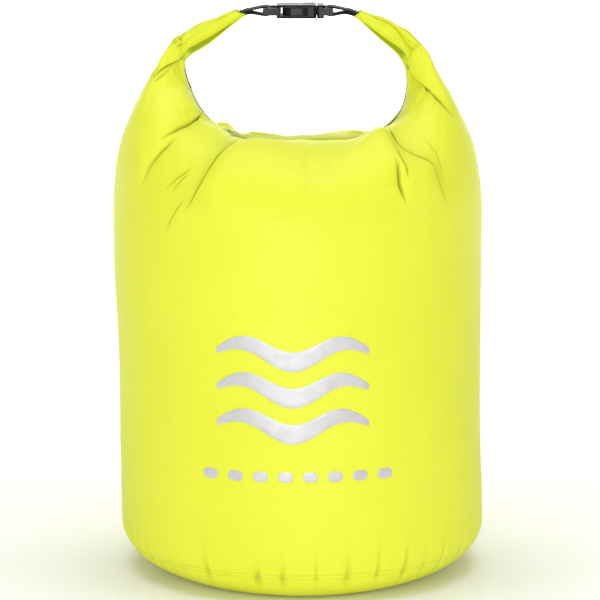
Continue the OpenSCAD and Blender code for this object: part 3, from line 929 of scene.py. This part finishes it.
SPLIT_X = 0.030                       # the roll's middle ends here, where the arms don't pull it
CAP_GAP = 0.0004                      # the roll stops this short of its path's two ends
split_left, split_right = LEFT_LENGTH - SPLIT_X, LEFT_LENGTH + SPLIT_X
place(strip_sweep("roll_middle_cloth", split_left, split_right, 40, spiral, LIME_ROLL_SHADED,
                  (False, False), spiral_painted_shade), "bag", "coated_cloth", "roll_middle")
ROLL_SPANS = {"left": (0.0, split_left), "right": (split_right, ROLL.length)}
for side, (a, b) in ROLL_SPANS.items():
    ob = strip_sweep(side + "_roll_cloth", max(a, CAP_GAP), min(b, ROLL.length - CAP_GAP), 120,
                     spiral, LIME_ROLL_SHADED, (side == "left", side == "right"), spiral_painted_shade, 0.006)
    bend(ob, side, "coated_cloth", side + "_roll")


def flat_section(width, thick):
    def section(_):
        f = np.linspace(0, 2 * math.pi, 24, endpoint=False)
        c, d = np.cos(f), np.sin(f)
        return np.stack([thick / 2 * np.sign(c) * np.abs(c) ** 0.35,
                         width / 2 * np.sign(d) * np.abs(d) ** 0.35], 1)
    return section


for label, node, width, thick, mat, slot in (
        ("hem", "hem_band", 0.0195, 0.0009, HEM, "hem_band"),
        ("stiffener_strip", "stiffener", 0.0180, 0.0004, TAPE, "stiffener")):
    section = flat_section(width, thick)
    gap = 0.016                       # the strips inside stop this short of the roll's tips
    place(strip_sweep(label + "_middle", split_left, split_right, 24, section, mat),
          "bag", slot, node + "_middle")
    for side, (a, b) in ROLL_SPANS.items():
        ob = strip_sweep(f"{side}_{label}", max(a, gap), min(b, ROLL.length - gap), 50,
                         section, mat)
        bend(ob, side, slot, f"{side}_{node}")


# ---- webbing and buckle ----
def tail_way(side):
    """The way from the roll's tip into it, with x away from the middle."""
    p = left_half if side == "left" else right_half
    d = p[-8] - p[-1]
    return d / np.linalg.norm(d)


def tab(side):
    """The webbing: out of the roll, round the buckle's bar and back in."""
    s = -1 if side == "left" else 1
    along = tail_way(side)
    across = np.array([-along[1], along[0]])
    join = np.array([BAR_X + 0.011, BUCKLE_Z])
    layer = WEB_T / 2 + 0.0001
    loop = BAR_R + 0.00008 + WEB_T / 2
    up = [tip + along * 0.010 + across * layer, tip + along * 0.003 + across * layer,
          join + [0.001, layer], (BAR_X + 0.0035, BUCKLE_Z + loop * 0.86)]
    turn = [(BAR_X + loop * math.cos(a), BUCKLE_Z + loop * math.sin(a))
            for a in np.linspace(math.radians(80), math.radians(280), 16)]
    down = [(BAR_X + 0.0035, BUCKLE_Z - loop * 0.86), join + [0.001, -layer],
            tip + along * 0.003 - across * layer, tip + along * 0.010 - across * layer]
    line = Path(smooth_path(up + turn + down, 6))
    steps = 150
    width = np.linspace(-0.5, 0.5, 15)
    points, uv = [], []
    for q in np.linspace(0, line.length, steps):
        p, n = line.at(q)
        edge = 0.00006 * math.sin(q * 2 * math.pi / 0.0016)      # the weft's turns at the edge
        for top in (1, -1):
            for w in (width if top == 1 else width[::-1]):
                thin = 1 - 0.35 * smooth01((abs(w) - 0.40) / 0.10)
                h = top * WEB_T / 2 * thin
                y = w * (WEB_W - 0.0004) + (edge if w > 0 else -edge)
                points.append((s * (p[0] + n[0] * h), y, p[1] + n[1] * h))
                uv.append((q, y))
    m = 2 * len(width)
    faces = grid_faces(steps, m, True)
    faces += [tuple(range(m - 1, -1, -1)), tuple((steps - 1) * m + k for k in range(m))]
    if s < 0:
        faces = [f[::-1] for f in faces]
    ob = build(side + "_webbing", points, faces, WEBBING, uv)
    place(ob, side + "_arm", "webbing", side + "_tab")


def stitch_mesh(name, spots, mat, body, slot, *nodes, r=0.00028):
    """Stitches: each spot is (one end, other end)."""
    points, faces = [], []
    for a, b in spots:
        a, b = Vector(a), Vector(b)
        along = (b - a).normalized()
        u = along.cross(Vector((0.31, 0.17, 0.93))).normalized()
        v = along.cross(u)
        tip_out = along * r * 0.5
        rings = [(a - tip_out, 0.35), (a, 1.0), ((a + b) / 2, 1.1), (b, 1.0), (b + tip_out, 0.35)]
        base = len(points)
        for c, share in rings:
            for k in range(6):
                t = 2 * math.pi * k / 6
                points.append(c + (u * math.cos(t) + v * math.sin(t)) * r * share)
        faces += [tuple(base + i for i in f) for f in grid_faces(5, 6, True)]
        faces += [tuple(base + k for k in range(5, -1, -1)),
                  tuple(base + 24 + k for k in range(6))]
    return place(build(name, points, faces, mat), body, slot, *nodes)


def tab_stitches(side):
    """A sewn box with a cross through the webbing's two layers."""
    s = -1 if side == "left" else 1
    along = tail_way(side)
    p0 = np.array([BAR_X + 0.0125, BUCKLE_Z - 0.0002])
    p1 = tip + along * 0.001
    spots = []

    def point(t, y, top):
        p = p0 + (p1 - p0) * t
        n = np.array([-(p1 - p0)[1], (p1 - p0)[0]])
        n /= np.linalg.norm(n)
        q = p + n * top * (WEB_T + 0.00012)
        return (s * q[0], y, q[1])

    half, pitch = 0.0078, 0.0019      # the box's half width, and the stitches' pitch
    corners = [(0, -half), (1, -half), (1, half), (0, half)]
    lines = list(zip(corners, corners[1:] + corners[:1]))
    lines += [(corners[0], corners[2]), (corners[1], corners[3])]
    for top in (1, -1):
        for (t0, y0), (t1, y1) in lines:
            length = math.hypot((t1 - t0) * np.linalg.norm(p1 - p0), y1 - y0)
            count = max(2, int(length / pitch))
            for i in range(count):
                a, b = (i + 0.12) / count, (i + 0.88) / count
                spots.append((point(t0 + (t1 - t0) * a, y0 + (y1 - y0) * a, top),
                              point(t0 + (t1 - t0) * b, y0 + (y1 - y0) * b, top)))
    stitch_mesh(side + "_tab_stitches", spots, THREAD_BLACK, side + "_arm", "thread",
                side + "_tab_stitching")


for side in ("left", "right"):
    tab(side)
    tab_stitches(side)
for node in ("buckle_housing", "buckle_plug", "front_prong", "back_prong"):
    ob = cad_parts[node]
    ob.data.materials.clear()
    ob.data.materials.append(PLASTIC)


# ---- the print ----
def on_skin(x, z, lift):
    """The point on the bag's front at x and z, raised by lift."""
    hit = skin_tree.ray_cast(Vector((x, -0.3, z)), Vector((0, 1, 0)))
    p, n = hit[0], hit[1]
    if n.y > 0:
        n = -n
    return p + n * lift


def film(name, shapes, node):
    """Flat shapes laid on the bag's front. Each shape is a grid of (x, z) rows."""
    points, faces, uv = [], [], []
    for rows in shapes:
        n, m = len(rows), len(rows[0])
        base = len(points)
        for i, row in enumerate(rows):
            for k, (x, z) in enumerate(row):
                rim = i in (0, n - 1) or k in (0, m - 1)
                points.append(on_skin(x, z, 0.00012 if rim else 0.00038))
                uv.append((x, z))
        faces += [tuple(base + v for v in f) for f in grid_faces(n, m, False)]
    return place(build(name, points, faces, PRINT, uv), "bag", "print", node)


def wave_shape(z0, width=0.104, height=0.0135, lift=0.0062, shift=-0.0035):
    tip_share = 0.015                 # of half the width, for the round tip
    rows = []
    for j in range(11):
        row = []
        for i in range(161):
            t = i / 160
            half = height / 2 * (0.30 + 0.70 * math.sin(math.pi * t) ** 0.8)
            over = max(0.0, abs(t - 0.5) * 2 - (1 - tip_share))
            round_end = math.sqrt(max(1 - over ** 2 / tip_share ** 2, 0.0))
            mid = z0 + lift * math.sin(3 * math.pi * t)
            row.append((shift + width * (t - 0.5), mid + half * round_end * (j / 5 - 1)))
        rows.append(row)
    return rows


def dash_shape(x0, z0, w=0.0104, h=0.0072):
    rows = []
    for j in range(9):
        row = []
        for i in range(25):
            a = (i / 24 - 0.5) * w
            over = max(0.0, abs(a) - (w - h) / 2)
            half = math.sqrt(max((h / 2) ** 2 - over ** 2, 1e-9))
            row.append((x0 + a, z0 + half * (j / 4 - 1)))
        rows.append(row)
    return rows


film("wave_print", [wave_shape(0.126 + i * 0.025) for i in range(3)], "print_waves")
film("dash_print", [dash_shape((i - 3.5) * 0.0170, 0.090) for i in range(8)], "print_dashes")


# ---- seams ----
def seam_stitches():
    """The stitches of the base seam, just above it, and of the back seam's two lines."""
    thread_r, lift = 0.00022, 0.00008
    stitch = (0.14, 0.80)             # a stitch's two ends, as shares of the pitch
    spots = []
    count = 270
    z = SEAM_Z + 0.0034
    for i in range(count):
        ends = []
        for t in stitch:
            f = 2 * math.pi * (i + t) / count
            d = Vector((-math.cos(f), -math.sin(f), 0))
            hit = skin_tree.ray_cast(Vector((0.2 * math.cos(f), 0.2 * math.sin(f), z)), d)
            ends.append(hit[0] - d * lift)
        spots.append(tuple(ends))
    stitch_mesh("base_stitches", spots, THREAD_LIME, "bag", "thread", "base_seam_thread",
                r=thread_r)
    spots = []
    pitch, low, high = 0.0029, 0.024, 0.278
    for x in (-0.0052, 0.0052):
        for i in range(int((high - low) / pitch)):
            ends = []
            for t in stitch:
                z = low + (i + t) * pitch
                hit = skin_tree.ray_cast(Vector((x, 0.3, z)), Vector((0, -1, 0)))
                ends.append(hit[0] + Vector((0, lift, 0)))
            spots.append(tuple(ends))
    stitch_mesh("back_seam_stitches", spots, THREAD_LIME, "bag", "thread", r=thread_r)


def inner_tapes():
    """The tapes inside the base seam and the back seam."""
    r, around, tape_w, tape_t = 0.1184, 160, 0.018, 0.0005
    points = []
    for a, z in ((0, 0), (tape_t, 0), (tape_t, tape_w), (0, tape_w)):
        points += [((r + a) * math.cos(t), (r + a) * math.sin(t), SEAM_Z + z)
                   for t in np.linspace(0, 2 * math.pi, around, endpoint=False)]
    last = 3 * around
    faces = grid_faces(4, around, True)
    faces += [(last + k, last + (k + 1) % around, (k + 1) % around, k) for k in range(around)]
    place(build("base_seam_tape_ring", points, faces, TAPE), "bag", "seam_tape", "base_seam_tape")
    points = []
    n, m, outer = 13, 24, 0.1241
    for a in (outer - tape_t, outer):
        for i in range(n):
            t = math.pi / 2 + 0.010 / outer * (i / 6 - 1)
            points += [(a * math.cos(t), a * math.sin(t), z) for z in np.linspace(0.039, 0.258, m)]
    front = grid_faces(n, m, False)
    faces = front + [tuple(n * m + v for v in f[::-1]) for f in front]
    rim = list(range(m)) + [i * m + m - 1 for i in range(1, n)]
    rim += [(n - 1) * m + k for k in range(m - 2, -1, -1)] + [i * m for i in range(n - 2, 0, -1)]
    faces += [(a, b, n * m + b, n * m + a) for a, b in zip(rim, rim[1:] + rim[:1])]
    place(build("back_seam_tape_strip", points, faces, TAPE), "bag", "seam_tape", "back_seam_tape")


seam_stitches()
inner_tapes()


# ---- stage, light, camera ----
def stage():
    """A pale floor that curves up into the backdrop."""
    pale = material("floor", (0.96, 0.96, 0.96), 0.9, Specular_IOR_Level=0.1)
    g = Graph(pale)
    g.link(g.ramp(g.noise(3.0, 3.0), [(0.3, (0.955,) * 3), (0.7, (0.965,) * 3)]),
           g.shader.inputs["Base Color"])
    curve_y = curve_r = 2.0
    profile = [(-6.0, 0.0), (curve_y, 0.0)]
    profile += [(curve_y + curve_r * math.sin(a), curve_r - curve_r * math.cos(a))
                for a in np.linspace(0.1, math.pi / 2, 16)]
    profile += [(4.0, 7.0)]
    points = [(x, y, z - 0.0002) for y, z in profile for x in (-9.0, 9.0)]
    ob = build("floor", points, grid_faces(len(profile), 2, False), pale)


def area_light(name, place_at, aim, size, power):
    light = bpy.data.lights.new(name, "AREA")
    light.shape, light.size, light.size_y = "RECTANGLE", size[0], size[1]
    light.energy = power
    ob = add_object(name, light)
    ob.location = place_at
    ob.rotation_euler = (Vector(aim) - Vector(place_at)).to_track_quat("-Z", "Y").to_euler()


stage()
area_light("key", (-0.12, -2.5, 0.32), (0, 0, 0.22), (1.3, 0.6), 28.5)
area_light("top", (0.0, 0.2, 3.6), (0, 0, 0.2), (3.0, 2.4), 76.0)
area_light("backdrop", (0, 1.6, 1.6), (0, 3.2, 0.2), (5.0, 2.0), 125.0)
area_light("left", (-2.2, -0.9, 1.1), (0, 0, 0.2), (0.8, 1.6), 4.2)
area_light("right", (2.2, -0.9, 1.1), (0, 0, 0.2), (0.8, 1.6), 5.6)
world = bpy.data.worlds.new("studio")
scene.world = world
world.use_nodes = True
world.node_tree.nodes["Background"].inputs[0].default_value = (1, 1, 1, 1)
world.node_tree.nodes["Background"].inputs[1].default_value = 0.31

scene.view_settings.view_transform = "Standard"

camera = bpy.data.cameras.new("camera")
camera.lens, camera.sensor_width = 185.1, 36.0
camera.clip_end = 50
view = add_object("camera", camera)
view.location = CAMERA
view.rotation_euler = (math.radians(80), 0, 0)
scene.camera = view
